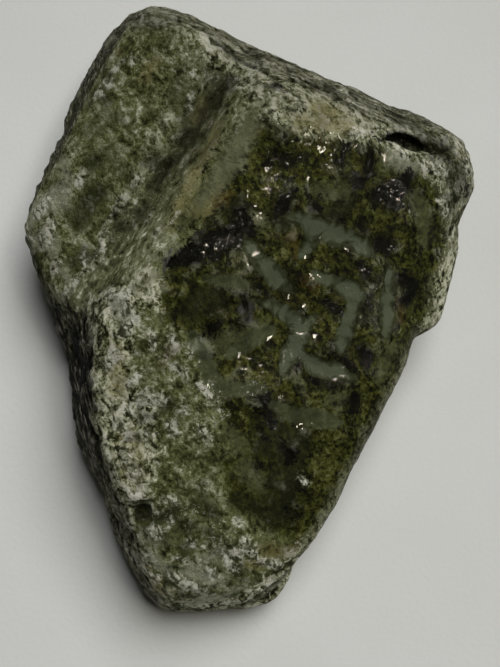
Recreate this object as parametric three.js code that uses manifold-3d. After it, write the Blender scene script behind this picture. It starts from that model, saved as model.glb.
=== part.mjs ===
// A raw jade boulder about the size of a hand, lying on its flattest side.
// It is one stone: a main mass, and a lower lobe that a valley parts from it.
// Millimetres, +Z up. X runs across the stone, and Y along it, from the narrow tip to the broad back.
// The origin is on the resting face, under the middle of the stone.
import * as THREE from "three";
import { ConvexGeometry } from "three/addons/geometries/ConvexGeometry.js";
import { ImprovedNoise } from "three/addons/math/ImprovedNoise.js";
import { mergeVertices } from "three/addons/utils/BufferGeometryUtils.js";
import Module from "manifold-3d";

// Driving dimensions. The stone is drawn in percents of these, and the finished stone fills them.
const WIDTH = 90;
const LENGTH = 121;
const THICKNESS = 42;

const wasm = await Module();
wasm.setup();

// A place on the stone, from percents of its width, length and thickness.
function at([across, along, up]) {
  return new THREE.Vector3((across * WIDTH) / 100, (along * LENGTH) / 100, (up * THICKNESS) / 100);
}

// The larger of two depths, with the edge between them rounded over the given width.
function softMax(a, b, width) {
  const overlap = Math.max(width - Math.abs(a - b), 0);
  return Math.max(a, b) + (overlap * overlap) / (4 * width);
}

// The smaller of two depths, with the crease between them filled over the given width.
function softMin(a, b, width) {
  return -softMax(-a, -b, width);
}

const STAND_OUT = 0.17; // rounding takes this share of its width off an edge, so each face stands out by it

// A mass of stone bounded by worn faces. Each face passes through three places. Its last number is the width
// over which its edges are rounded, in percent of the thickness. Every face has the middle on its inner side.
function mass(middle, faces) {
  const planes = faces.map(([a, b, c, wear]) => {
    const plane = new THREE.Plane().setFromCoplanarPoints(at(a), at(b), at(c));
    if (plane.distanceToPoint(at(middle)) > 0) plane.negate();
    return { plane, rounding: (wear * THICKNESS) / 100 };
  });
  return (point) =>
    planes.reduce(
      (depth, { plane, rounding }) =>
        softMax(depth, plane.distanceToPoint(point) - rounding * STAND_OUT, rounding),
      -Infinity,
    );
}

const mainMass = mass([2, 0, 34], [
  // Top
  [[2.5, 29.5, 98], [-28.5, -26.5, 70], [33, -11, 50], 2.5], // broad wet face
  [[-12, -13.5, 73], [-34, -5.5, 70], [-29.5, -27.5, 60], 24], // pale shoulder along the left
  [[2.5, 29, 97], [-25, 3, 75], [-18.5, 20, 64], 12], // flank above the valley
  [[2.5, 30.5, 98], [32, 27, 75], [11, 38.5, 68], 14], // slope at the back
  // Sides
  [[51.5, 23.5, 41], [46.5, 7, 27], [43.5, 22.5, 66], 14], // right end
  [[36.5, -4.5, 41], [26, -22.5, 39], [31, -4.5, 5], 7], // upper right side
  [[12, -39, 34], [26, -22.5, 39], [8.5, -37, 0], 7], // lower right side
  [[9, -42, 30], [-2.5, -48.5, 25], [-3, -42, 46], 10], // right of the tip
  [[7.5, -48.5, 16], [-17.5, -49.5, 14], [-5, -45, 45], 10], // tip
  [[-23.5, -47.3, 14], [-30.5, -41, 7], [-23, -42, 41], 10], // tip corner
  [[-38.3, -29, 5], [-31, -41, 7], [-31, -28, 61], 10], // lower left wall
  [[-43.3, -20, 5], [-38.3, -29, 5], [-33.5, -19, 68], 10], // left wall
  [[-44, -1, 7], [-43.3, -20, 5], [-35.5, -6, 70], 10], // upper left wall
  [[2.5, 41.5, 64], [41, 34, 50], [4.5, 37.5, 18], 14], // back wall
  [[47.5, 29.8, 48], [51.5, 25.8, 43], [44.5, 26.8, 14], 14], // back corner
  // Underside
  [[13, 16.5, 0], [13, -25, 0], [44, 16.5, 27], 19], // under the right end
  [[0, 33, 0], [22, 25, 0], [9, 41.5, 32], 19], // under the back
  [[-22, 16.5, 0], [-33, 0, 0], [-44, 10, 24], 14], // under the lobe
  [[5, -43, 0], [-15, -43, 0], [-5, -50, 14], 14], // under the tip
  [[-36.5, -12, 0], [-30.5, -29, 0], [-41, -20, 9], 10], // under the left wall
  [[-30.5, -29, 0], [-23.5, -41, 0], [-33.5, -36, 9], 10], // under the lower left wall
]);

// The lobe and the floor of the valley have the same rim, and the lobe stands above the floor.
const LOBE_MIDDLE = [-26.5, 25, 38];
const lobeRim = [
  [[-53, 16, 36], [-39.3, 44, 32], [-37, 36, 66], 10], // left wall
  [[-39, 44.5, 32], [-33, 51, 38], [-29.5, 43, 75], 10], // upper left corner
  [[-33, 51, 41], [-23.5, 53.3, 50], [-27, 47, 75], 10], // left of the apex
  [[-23.5, 53, 55], [-14, 50.5, 57], [-19, 47, 80], 10], // apex
  [[-14, 50.5, 57], [2.5, 41.3, 64], [-5, 41.5, 82], 12], // back of the lobe
  [[-23, 53, 50], [2.5, 43, 60], [-20, 45.5, 5], 14], // back wall of the lobe
  [[-51.5, 11.5, 36], [-44.5, 0, 32], [-44, 5, 48], 10], // lower left edge
  [[-22, 41.5, 0], [-27.5, 8.5, 0], [-46, 20.5, 26], 14], // under the lobe
  [[2, 33, 100], [2, 16.5, 0], [2, 49.5, 0], 24], // end inside the main mass
];
const sideLobe = mass(LOBE_MIDDLE, [
  [[-21, 33.5, 78], [-44, 15.5, 51], [-31.5, 11.5, 60], 2.5], // top
  [[-12.5, 34.5, 82], [-31.5, 11.5, 60], [-24, 15.2, 55], 7], // scarp above the valley
  [[-31.5, 11.5, 59], [-38.5, 4.5, 50], [-29, 8.5, 45], 5], // lower end of the scarp
  ...lobeRim,
]);
const valleyFloor = mass(LOBE_MIDDLE, [
  [[-10.5, 26, 70], [-33, 6.5, 53], [-27.5, 16, 57], 5], // floor
  [[-44, 1, 30], [-20, -3, 45], [-36, -5, 10], 12], // lower end
  ...lobeRim,
]);

const CREASE_FILL = 0.07 * THICKNESS; // between the flank and the lobe
const FOOT_FILL = 0.05 * THICKNESS; // at the foot of the scarp
const LUMPS = [
  { size: 0.14 * LENGTH, depth: 0.026 * THICKNESS },
  { size: 0.058 * LENGTH, depth: 0.008 * THICKNESS },
];
const noise = new ImprovedNoise();

// How far the wear of the stone lifts or sinks its surface at a point.
function lumps(point) {
  return LUMPS.reduce(
    (sum, { size, depth }) => sum + depth * noise.noise(point.x / size, point.y / size, point.z / size),
    0,
  );
}

// Depth at a point: negative inside the stone and zero on its surface.
function stoneDepth(point) {
  const beside = softMin(sideLobe(point), valleyFloor(point), FOOT_FILL);
  return softMin(mainMass(point), beside, CREASE_FILL) - lumps(point);
}

// The stone is drawn out along rays, from a flat core of its own outline.
const MESH_DETAIL = 22;
const CORE = { middle: at([0, 2, 30]), spread: 0.74, rise: 0.1 };
const REACH = 0.6 * THICKNESS; // how far the rays lean up and down
const HALVINGS = 30;

function surfaceDistance(from, direction) {
  let inside = 0;
  let outside = LENGTH;
  const point = new THREE.Vector3();
  for (let halving = 0; halving < HALVINGS; halving++) {
    const reach = (inside + outside) / 2;
    point.copy(from).addScaledVector(direction, reach);
    if (stoneDepth(point) < 0) inside = reach;
    else outside = reach;
  }
  return inside;
}

function drawnStone() {
  const ball = new THREE.IcosahedronGeometry(1, MESH_DETAIL);
  ball.deleteAttribute("normal");
  ball.deleteAttribute("uv");
  const skin = mergeVertices(ball, 1e-5);
  const corners = skin.attributes.position;
  for (let i = 0; i < corners.count; i++) {
    const outward = new THREE.Vector3(corners.getX(i) * WIDTH, corners.getY(i) * LENGTH, 0);
    outward.z = outward.y * CORE.rise;
    outward.normalize();
    const latitude = Math.hypot(corners.getX(i), corners.getY(i));
    const rim = surfaceDistance(CORE.middle, outward) * latitude;
    const start = CORE.middle.clone().addScaledVector(outward, rim * CORE.spread);
    const ray = outward.multiplyScalar(rim * (1 - CORE.spread));
    ray.z += corners.getZ(i) * REACH;
    ray.normalize();
    const place = start.addScaledVector(ray, surfaceDistance(start, ray));
    corners.setXYZ(i, place.x, place.y, place.z);
  }
  return skin;
}

function toSolid(geometry) {
  geometry.deleteAttribute("normal");
  geometry.deleteAttribute("uv");
  const merged = mergeVertices(geometry, 1e-5);
  return new wasm.Manifold(
    new wasm.Mesh({
      numProp: 3,
      vertProperties: merged.attributes.position.array,
      triVerts: new Uint32Array(merged.index.array),
    }),
  );
}

function toGeometry(solid) {
  const mesh = solid.getMesh();
  const geometry = new THREE.BufferGeometry();
  geometry.setAttribute("position", new THREE.BufferAttribute(mesh.vertProperties, 3));
  geometry.setIndex(new THREE.BufferAttribute(mesh.triVerts, 1));
  return geometry;
}

// A broken edge of the stone, spanned between its corners.
function shard(corners) {
  return toSolid(new ConvexGeometry(corners.map(at)));
}

// Broken edges that stand out of the drawn stone
const rightTab = shard([
  [36, 12, 60], [37, -3, 45], [42.5, 9.5, 53], [42, -2, 41], // its top
  [48.5, 14.5, 43], [46.7, 7.5, 37], [46, 3, 35], [43.7, -1.5, 32], [37.8, -3.6, 34], // its rim
  [37, 11, 24], [36, -2, 24], [25, 12, 15], [25, -2, 15], [25, 12, 50], // its root in the stone
]);
const tipLamella = shard([
  [10, -40, 22], [8.5, -44.5, 18], [5, -48.2, 17], [-3, -48.7, 18], [-3, -44, 24], // its top
  [8, -43, 4], [4.5, -47, 5], [-3, -48, 5], // its rim
  [-6, -41, 4], [-6, -41, 20], // its root in the stone
]);

// Broken hollows
const backPit = shard([
  [28, 25.5, 84], [31.5, 28.7, 80], [38, 28.5, 76], [45, 26, 70], [39, 23.8, 76], [34, 23.6, 80], // its mouth
  [31.5, 26.3, 66], [36, 25.5, 62], // its floor
]);
const leftSlit = shard([
  [-27, -30.5, 60], [-21, -31, 62], [-22.5, -36.5, 56], [-25.5, -36, 52], // its mouth
  [-26, -31.2, 50], [-22, -31.5, 51], // its deep edge
]);

// All that is lower than the flat resting face
const below = toSolid(
  new THREE.BoxGeometry(2 * WIDTH, 2 * LENGTH, THICKNESS).translate(0, 0, -THICKNESS / 2),
);

const stone = toSolid(drawnStone())
  .add(rightTab)
  .add(tipLamella)
  .subtract(backPit)
  .subtract(leftSlit)
  .subtract(below);

// The finished stone is moved over the origin and fitted to the driving dimensions.
const geometry = toGeometry(stone);
geometry.computeBoundingBox();
const drawn = geometry.boundingBox;
const drawnSize = drawn.getSize(new THREE.Vector3());
geometry.translate(-(drawn.min.x + drawn.max.x) / 2, -(drawn.min.y + drawn.max.y) / 2, 0);
geometry.scale(WIDTH / drawnSize.x, LENGTH / drawnSize.y, THICKNESS / drawnSize.z);
geometry.computeVertexNormals();

const boulder = new THREE.Mesh(
  geometry,
  new THREE.MeshStandardMaterial({ color: 0x5c6148, roughness: 0.45, metalness: 0 }),
);
boulder.name = "jade_boulder";

const group = new THREE.Group();
group.add(boulder);
export default group;
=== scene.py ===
# %% [markdown]
# # A raw jade boulder
# The object is one stone, about the size of a hand. It has a broad wet face of olive jade, a lower lobe
# beside it with a valley between them, and a pale weathered crust round the edges.
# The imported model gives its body, and everything below stays in that body's place, in metres.

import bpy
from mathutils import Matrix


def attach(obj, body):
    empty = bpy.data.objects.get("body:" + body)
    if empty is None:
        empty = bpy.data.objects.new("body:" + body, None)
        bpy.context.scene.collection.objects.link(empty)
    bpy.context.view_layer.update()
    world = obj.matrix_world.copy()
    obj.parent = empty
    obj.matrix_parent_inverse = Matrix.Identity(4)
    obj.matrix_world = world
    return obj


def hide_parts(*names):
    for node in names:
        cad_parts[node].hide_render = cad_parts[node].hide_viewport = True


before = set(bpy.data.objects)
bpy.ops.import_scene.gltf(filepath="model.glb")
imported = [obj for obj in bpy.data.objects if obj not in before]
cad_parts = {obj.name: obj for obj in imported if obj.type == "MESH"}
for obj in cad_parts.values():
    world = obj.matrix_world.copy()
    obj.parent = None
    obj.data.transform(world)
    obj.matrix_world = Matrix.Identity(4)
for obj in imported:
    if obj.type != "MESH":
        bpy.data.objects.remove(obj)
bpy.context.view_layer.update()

# %% [markdown]
# ## The viewpoint
# The stone lies flat and is seen from almost straight above, a little from the side of its narrow tip.
# A camera turned 9 degrees away from straight down, with a 60 mm lens, shows it in the same way.

# %% Place the camera
import math
import bpy
import numpy as np
from mathutils import Vector
from mathutils.bvhtree import BVHTree

MM = 0.001
TILT = math.radians(9)
LOOKS_AT = Vector((0.15, -6.5, 20)) * MM
DISTANCE = 216.9 * MM

away = Vector((0, -math.sin(TILT), math.cos(TILT)))
bpy.ops.object.select_all(action="DESELECT")
bpy.ops.object.camera_add(location=LOOKS_AT + away * DISTANCE, rotation=(TILT, 0, 0))
camera = bpy.context.object
camera.name = "camera"
camera.data.lens = 60
camera.data.sensor_width = 36
camera.data.clip_start = 0.01
bpy.context.scene.camera = camera
print("camera height, mm:", round(camera.location.z * 1000, 1))

# %% [markdown]
# ## Colours and nodes
# Colours are written as they look on a screen, so one function turns them to the linear values that
# light is worked out with. One more function adds a node, sets it, and links what feeds it.

# %% Helpers for colours and nodes
def linear(hex_colour):
    """A screen colour such as "#5c6148" as linear red, green, blue and alpha."""
    parts = [int(hex_colour[i : i + 2], 16) / 255 for i in (1, 3, 5)]
    return [p / 12.92 if p <= 0.04045 else ((p + 0.055) / 1.055) ** 2.4 for p in parts] + [1.0]


def add_node(tree, kind, inputs=(), stops=(), **settings):
    """Adds a node. inputs pairs sockets with values or other nodes' sockets. stops are a ramp's colours."""
    node = tree.nodes.new(kind)
    for name, value in settings.items():
        setattr(node, name, value)
    for socket, value in inputs:
        if isinstance(value, bpy.types.NodeSocket):
            tree.links.new(value, node.inputs[socket])
        else:
            node.inputs[socket].default_value = value
    if stops:
        elements = node.color_ramp.elements
        while len(elements) < len(stops):
            elements.new(0.5)
        for element, (position, colour) in zip(elements, stops):
            element.position = position
            element.color = linear(colour)
    return node


print("mid grey is", round(linear("#808080")[0], 3), "in linear light")

# %% [markdown]
# ## The table and the light
# A plain pale table carries the stone. The light is soft and comes from the upper right of the view. A wet
# stone mirrors whatever is round it, and here that is dark overhead, so only one small light glints in it.

# %% Make the table
bpy.ops.object.select_all(action="DESELECT")
bpy.ops.mesh.primitive_plane_add(size=6)
table = bpy.context.object
table.name = "table"
plaster = bpy.data.materials.new("smooth plaster")
plaster.use_nodes = True
tree = plaster.node_tree
shader = tree.nodes["Principled BSDF"]
spot = add_node(tree, "ShaderNodeTexCoord").outputs["Object"]
mottle = add_node(tree, "ShaderNodeTexNoise", [("Vector", spot), ("Scale", 18), ("Detail", 3)])
tone = add_node(
    tree, "ShaderNodeValToRGB", [("Fac", mottle.outputs["Fac"])], stops=[(0.3, "#d6d7d2"), (0.7, "#dddeda")]
)
grit = add_node(tree, "ShaderNodeTexNoise", [("Vector", spot), ("Scale", 900), ("Detail", 2)])
bump = add_node(
    tree, "ShaderNodeBump", [("Strength", 0.25), ("Distance", 0.0002), ("Height", grit.outputs["Fac"])]
)
tree.links.new(tone.outputs["Color"], shader.inputs["Base Color"])
tree.links.new(bump.outputs["Normal"], shader.inputs["Normal"])
shader.inputs["Roughness"].default_value = 0.75
table.data.materials.append(plaster)
print("table, m:", [round(side, 1) for side in table.dimensions[:2]])

# %% Hang the lights
def hang_sun(name, towards, strength, width, shines):
    """A distant light from a direction. width is how wide it looks in degrees, shines if it glints."""
    bpy.ops.object.light_add(type="SUN", rotation=Vector(towards).to_track_quat("Z", "Y").to_euler())
    sun = bpy.context.object
    sun.name = name
    sun.data.energy = strength
    sun.data.angle = math.radians(width)
    sun.visible_glossy = shines
    return sun


hang_sun("soft window", (0.29, 0.41, 0.87), 2.6, 40, False)
glint = hang_sun("window glint", (0.43, 0.0, 0.90), 4.4, 7, True)
glint.visible_diffuse = False
glint.data.color = linear("#fff6de")[:3]

studio = bpy.data.worlds.new("studio")
bpy.context.scene.world = studio
studio.use_nodes = True
tree = studio.node_tree
sky = tree.nodes["Background"]
skyward = add_node(tree, "ShaderNodeTexCoord").outputs["Generated"]
height = add_node(tree, "ShaderNodeSeparateXYZ", [("Vector", skyward)])
walls = add_node(
    tree,
    "ShaderNodeValToRGB",
    [("Fac", height.outputs["Z"])],
    stops=[(0.0, "#a3a4a2"), (0.12, "#565752"), (0.5, "#1b1c19")],
)
tree.links.new(walls.outputs["Color"], sky.inputs["Color"])
sky.inputs["Strength"].default_value = 0.5
bpy.context.scene.view_settings.view_transform = "Standard"

# %% [markdown]
# ## The body of the stone
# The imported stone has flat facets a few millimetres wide. A copy of it is merged, its facets are rounded by
# subdividing, and then it is cut again into even cells 0.56 mm wide, small enough to carve broken edges in.

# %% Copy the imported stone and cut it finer
CELL = 0.56 * MM

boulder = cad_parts["jade_boulder"]
stone = bpy.data.objects.new("jade_stone", boulder.data.copy())
bpy.context.collection.objects.link(stone)
stone.data.name = "jade_stone"
stone.data.materials.clear()


def work_on(piece):
    """Selects only this piece, and makes it the active one."""
    bpy.ops.object.select_all(action="DESELECT")
    piece.select_set(True)
    bpy.context.view_layer.objects.active = piece


def finish_with(piece, kind, **settings):
    """Adds a modifier, sets it, and applies it to the mesh."""
    work_on(piece)
    modifier = piece.modifiers.new(kind.lower(), kind)
    for name, value in settings.items():
        setattr(modifier, name, value)
    bpy.ops.object.modifier_apply(modifier=modifier.name)


work_on(stone)
bpy.ops.object.mode_set(mode="EDIT")
bpy.ops.mesh.select_all(action="SELECT")
bpy.ops.mesh.remove_doubles(threshold=0.00001)
bpy.ops.object.mode_set(mode="OBJECT")
finish_with(stone, "SUBSURF", levels=2, render_levels=2)
finish_with(stone, "REMESH", mode="VOXEL", voxel_size=CELL, adaptivity=0)
finish_with(stone, "SMOOTH", factor=0.5, iterations=4)
print("points on the stone:", len(stone.data.vertices))

# %% [markdown]
# ## From the photograph to the stone
# Marks are placed where the photograph shows them, so their places are written as pixels across and down its
# frame. The camera stands as the one that took the photograph did, so a ray from it through such a pixel
# meets the imported stone at the mark's place. How far that is also gives a pixel's size there.
# A ray that just misses the stone takes the nearest place on its rim.

# %% Find what a pixel shows
PHOTO_WIDE = 500
PHOTO_HIGH = 667
FOCAL_PX = camera.data.lens / camera.data.sensor_width * PHOTO_HIGH


def surface(piece):
    """The points and outward directions of a mesh, the points in millimetres."""
    count = len(piece.data.vertices)
    points, outward = np.empty(count * 3), np.empty(count * 3)
    piece.data.vertices.foreach_get("co", points)
    piece.data.vertices.foreach_get("normal", outward)
    return points.reshape(-1, 3) / MM, outward.reshape(-1, 3)


def skin_of(piece):
    """The surface of a mesh in millimetres, kept so that a ray finds it fast."""
    faces = [tuple(face.vertices) for face in piece.data.polygons]
    return BVHTree.FromPolygons([tuple(point) for point in surface(piece)[0]], faces)


packed_skin = skin_of(boulder)


def behind_pixel(across_px, down_px):
    """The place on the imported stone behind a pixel, in mm across and along, and the pixel's size there."""
    eye = camera.location / MM
    ray = Vector((across_px - PHOTO_WIDE / 2, PHOTO_HIGH / 2 - down_px, -FOCAL_PX))
    ray.rotate(camera.rotation_euler)
    beside = eye + ray * (DISTANCE / MM / FOCAL_PX)
    place = packed_skin.ray_cast(eye, ray)[0] or packed_skin.find_nearest(beside)[0]
    depth = (DISTANCE - (place.z * MM - LOOKS_AT.z) * math.cos(TILT)) / MM
    return round(place.x, 1), round(place.y, 1), depth / FOCAL_PX


print("the middle pixel shows the place", behind_pixel(PHOTO_WIDE / 2, PHOTO_HIGH / 2)[:2])

# %% [markdown]
# ## Naming places on the stone
# A mark is a path of pixels, each with half its width there, also in pixels. A plumb line from above finds
# how high each place is. A zone is a closed outline seen from above, in millimetres across and along.
# Both give, for every point of the surface, how many millimetres it lies inside them.

# %% Find places and distances
HIGH_ABOVE = 100
RIM_HEIGHT = 15
FAR_OUTSIDE = -60.0

points, outward = surface(stone)
skin = skin_of(stone)


def drop(across, along):
    """The place on top of the stone, or at its rim, under a plumb line."""
    hit = skin.ray_cast(Vector((across, along, HIGH_ABOVE)), Vector((0, 0, -1)))[0]
    return hit or skin.find_nearest(Vector((across, along, RIM_HEIGHT)))[0]


def inside_marks(marks):
    """How far each point lies inside the nearest of these marks, in mm. Outside it is negative."""
    best = np.full(len(points), FAR_OUTSIDE)
    for mark in marks:
        shown = [behind_pixel(across_px, down_px) for across_px, down_px, _ in mark]
        places = [np.array(drop(across, along)) for across, along, _ in shown]
        widths = [round(half_px * pixel, 1) for (_, _, half_px), (_, _, pixel) in zip(mark, shown)]
        for a, b, wa, wb in zip(places, places[1:], widths, widths[1:]):
            step = b - a
            share = np.clip((points - a) @ step / max(step @ step, 1e-9), 0, 1)
            gap = np.linalg.norm(points - (a + share[:, None] * step), axis=1)
            best = np.maximum(best, wa + (wb - wa) * share - gap)
    return best


def inside_zone(outline):
    """How far each point lies inside an outline seen from above, in mm. Outside it is negative."""
    corners = np.array(outline, float)
    flat = points[:, :2]
    nearest = np.full(len(flat), 1e9)
    within = np.zeros(len(flat), bool)
    for a, b in zip(corners, np.roll(corners, -1, 0)):
        step = b - a
        share = np.clip((flat - a) @ step / (step @ step), 0, 1)
        nearest = np.minimum(nearest, np.linalg.norm(flat - (a + share[:, None] * step), axis=1))
        crosses = (a[1] > flat[:, 1]) != (b[1] > flat[:, 1])
        rise = b[1] - a[1] if b[1] != a[1] else 1e-9
        within ^= crosses & (flat[:, 0] < a[0] + (flat[:, 1] - a[1]) * step[0] / rise)
    return np.where(within, nearest, -nearest)


def fade(value, low, high):
    """0 below low, 1 above high, and smooth between."""
    t = np.clip((value - low) / (high - low), 0, 1)
    return t * t * (3 - 2 * t)


print("the middle of the wet face is", round(drop(10, 0)[2], 1), "mm high")

# %% [markdown]
# ## Where each kind of surface is
# The outlines below follow what the stone shows: a wet face in the middle, pale weathered crust on the left
# shoulder, on the slope at the back and round the narrow end, a speckled shoulder and a speckled lobe.
# The edges of the valley are sharp in the photograph, so they are given in its pixels, as marks are.

# %% Outline the wet face and the crust
WET_FACE = [
    (2, 30.5), (9.5, 27), (17.5, 26.5), (23, 27), (26, 25), (31, 23), (37.5, 19), (39, 12), (36, 4),
    (33.5, -6), (29, -15), (24, -27), (14, -43), (9, -47), (3, -43), (-3, -40), (-4.5, -33), (-3, -28),
    (-6, -22), (-11, -9), (-16, -7), (-15.5, 4), (-9, 11), (-4.5, 20),
]
LEFT_SHOULDER = [
    (-33.5, -3.5), (-28, -1.5), (-23, -0.8), (-18.5, 2), (-20.5, -6), (-22.5, -15), (-21, -20), (-18, -22),
    (-16.5, -28), (-18, -34), (-20, -39), (-25, -37), (-30, -28), (-32, -19), (-35, -10), (-36, -2),
]
BACK_SLOPE = [
    (-6.5, 45), (2.5, 49), (14, 46), (30, 42), (44, 36), (50, 27), (50, 13), (43, 6), (40.5, 10),
    (39.5, 13), (39, 19), (38, 23), (33, 23), (36.5, 26.5), (31.5, 31), (25.5, 30), (23, 27.5),
    (18.5, 26.5), (15, 27.5), (9.5, 27.5), (6.5, 29.5), (2.5, 31.5), (-1, 36), (-4, 42),
]
TIP_END = [
    (-20.5, -39), (-22, -45), (-18.5, -52), (-13, -55.5), (-7, -57.3), (-1, -57), (3, -54), (7, -50.5),
    (9.5, -48), (12, -52), (2, -63), (-10, -64), (-20, -62), (-28, -54), (-32, -44), (-28, -38),
]
BACK_GRAIN = [
    (-26, 62), (-23, 50), (-18, 48), (-12, 48.5), (-5, 44), (0, 41), (8, 38), (18, 33), (26, 31),
    (34, 31.5), (46, 28), (50, 40), (20, 60),
]

wet_face = inside_zone(WET_FACE)
back_slope = inside_zone(BACK_SLOPE)
crust = np.maximum.reduce([inside_zone(LEFT_SHOULDER), back_slope, inside_zone(TIP_END)])
back_grain = fade(inside_zone(BACK_GRAIN), -1, 2)
print("share of the surface that is wet face:", round(float((wet_face > 0).mean()), 2))

# %% Outline the lobe and the valley
SPECKLED_SHOULDER = [
    (-21, -2), (-16.5, -5), (-15, -8), (-11, -8), (-7, -14), (-6, -21), (-2, -26), (4, -31), (3, -38),
    (9, -44), (11, -49), (6, -54), (-2, -57.5), (-9, -61), (-20, -62), (-28, -54), (-26, -40), (-20, -38),
    (-18, -34), (-17, -28), (-19, -21), (-22, -14),
]
LOBE = [
    (-16.5, 26.5), (-22, 20.5), (-25.5, 17), (-28, 12), (-29, 6.5), (-36, 0), (-48, 8), (-48, 24),
    (-38, 40), (-24, 56), (-14, 56), (-9, 45), (-9, 36),
]
FLANK_CREST = [(2, 32), (0, 27), (-3, 21), (-7, 14), (-10, 9), (-14, 3), (-17, 1), (-18, 4)]
FLANK_FOOT_PX = [
    (164, 240), (166, 222), (180, 200), (196, 180), (212, 154), (221, 138), (227, 112), (231, 88),
]
VALLEY_PX = [
    (205, 66), (203, 76), (192, 100), (180, 130), (162, 150), (142, 170), (126, 195), (113, 210),
    (106, 226), (103, 245), (98, 260), (86, 271), (70, 290), (64, 296), (66, 303), (76, 312), (88, 306),
    (104, 291), (124, 283), (142, 270), (158, 256), *FLANK_FOOT_PX, (228, 72),
]

flank = FLANK_CREST + [behind_pixel(*pixel)[:2] for pixel in FLANK_FOOT_PX]
valley = inside_zone([behind_pixel(*pixel)[:2] for pixel in VALLEY_PX])
lobe = np.maximum.reduce([inside_zone(LOBE), inside_zone(SPECKLED_SHOULDER), inside_zone(flank)])
print("share of the surface that is valley:", round(float((valley > 0).mean()), 2))

# %% Find the walls by the way they face
steep = fade(outward[:, 2], 0.55, 0.1)
faces_left = fade(-outward[:, 0], 0.25, 0.6)
is_wall = fade(outward[:, 2], 0.66, 0.4)
left_side = faces_left * fade(-points[:, 0], 8, 16) * fade(-points[:, 1], -4, 2)
left_wall = left_side * is_wall
upper_left_wall = faces_left * is_wall * fade(points[:, 1], -4, 2)
print("share of the surface that is steep:", round(float((steep > 0.5).mean()), 2))

# %% [markdown]
# ## Weathering
# The crust is lumpy and grainy, and the wet face is smoother. Each kind of relief is a Displace modifier
# with a cloudy texture of its real size, held back by a vertex group where the stone is smooth.

# %% Wear the surface
def paint(piece, name, weight):
    """A vertex group with these weights, in steps of a twentieth."""
    group = piece.vertex_groups.new(name=name)
    steps = np.rint(np.clip(weight, 0, 1) * 20).astype(int)
    for step in range(1, 21):
        group.add(np.nonzero(steps == step)[0].tolist(), step / 20, "REPLACE")
    return group.name


def cloud(name, size, finer_layers):
    """A cloudy texture. size is that of its largest clouds, in the units of what it is laid on."""
    texture = bpy.data.textures.new(name, "CLOUDS")
    texture.noise_scale = size
    texture.noise_depth = finer_layers
    texture.noise_basis = "ORIGINAL_PERLIN"
    return texture


def wear(piece, name, texture, height_mm, weight, **settings):
    """Pushes the surface in and out by a texture, up to height_mm in all."""
    group = paint(piece, name, weight)
    finish_with(piece, "DISPLACE", texture=texture, strength=height_mm * MM, vertex_group=group, **settings)
    piece.vertex_groups.clear()


left_half = fade(-points[:, 0], -6, 8)
rough = np.maximum.reduce([fade(crust, -1.5, 1), steep * left_half, 0.3 * steep])
# The tip, the back, the right end and the lower right side are worn smoother than the left shoulder.
rough = rough * (0.35 + 0.65 * fade(points[:, 1], -56, -44))
rough = rough * (1 - 0.6 * fade(points[:, 1], 8, 24)) * (1 - 0.5 * fade(points[:, 0], 34, 40))
lower_right = fade(0.91 * points[:, 0] - 0.41 * points[:, 1], 23, 29)
worn = 1 - 0.65 * lower_right * fade(-points[:, 1], -12, -2)
wear(stone, "hummocks", cloud("hummocks", 5 * MM, 1), 2.0, (0.5 + 0.5 * rough) * worn)
wear(stone, "lumps", cloud("lumps", 2.4 * MM, 2), 1.1, (0.4 + 0.6 * rough) * worn)
wear(stone, "grains", cloud("grains", 1.2 * MM, 2), 0.8, 0.15 + 0.85 * rough)
print("share of the surface that is rough:", round(float((rough > 0.5).mean()), 2))

# %% [markdown]
# ## Leaves in the rock
# Jade rock splits in thin leaves. They show as streaks along the left wall, down the valley and across the
# back. The same cloudy texture does this when a turned, scaled helper object stretches it along the leaves.

# %% Draw the leaves out
LEAVES = {
    "valley": Vector((-0.52, -0.80, -0.30)),
    "left wall": Vector((0.30, -0.95, -0.05)),
    "back": Vector((0.92, -0.36, -0.10)),
}
LEAF_LENGTH = 7
LEAF_THICKNESS = 1.3


def leaf_turn(name):
    """The turn that lays X along one set of leaves."""
    return LEAVES[name].to_track_quat("X", "Z").to_euler()


def stretch_along(name, height_mm):
    """A helper object that stretches a texture along one set of leaves."""
    bpy.ops.object.select_all(action="DESELECT")
    bpy.ops.object.empty_add(rotation=leaf_turn(name))
    helper = bpy.context.object
    helper.scale = (LEAF_LENGTH * MM, LEAF_THICKNESS * MM, height_mm * MM)
    bpy.context.view_layer.update()
    return helper


leafy = cloud("leaves", 1, 2)
where = {
    "valley": (fade(valley, -1, 1.5) * 0.3, 1.3),
    "left wall": (np.maximum(left_wall, upper_left_wall), 3.2),
    "back": (back_grain, 2.2),
}
for name, (weight, height_mm) in where.items():
    helper = stretch_along(name, height_mm)
    wear(stone, name, leafy, 1.3, weight, texture_coords="OBJECT", texture_coords_object=helper)
    bpy.data.objects.remove(helper)
print("sets of leaves drawn out:", len(where))

# %% [markdown]
# ## Scoops, creases and broken lips
# The wet face carries short scraped scoops, where the pale jade under the skin shows. They are listed paths,
# sunk by a rounded profile. Creases and lips along the valley and the narrow end, the pit at the back, black
# hollows and white crumbs are made in the same way.

# %% List the scoops
# The pale middle of a scoop is what shows best, and the scraped edge reaches a little past it.
SCOOP_WIDENING = 1.2
SCOOP_RIM_PX = 0.4

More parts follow.
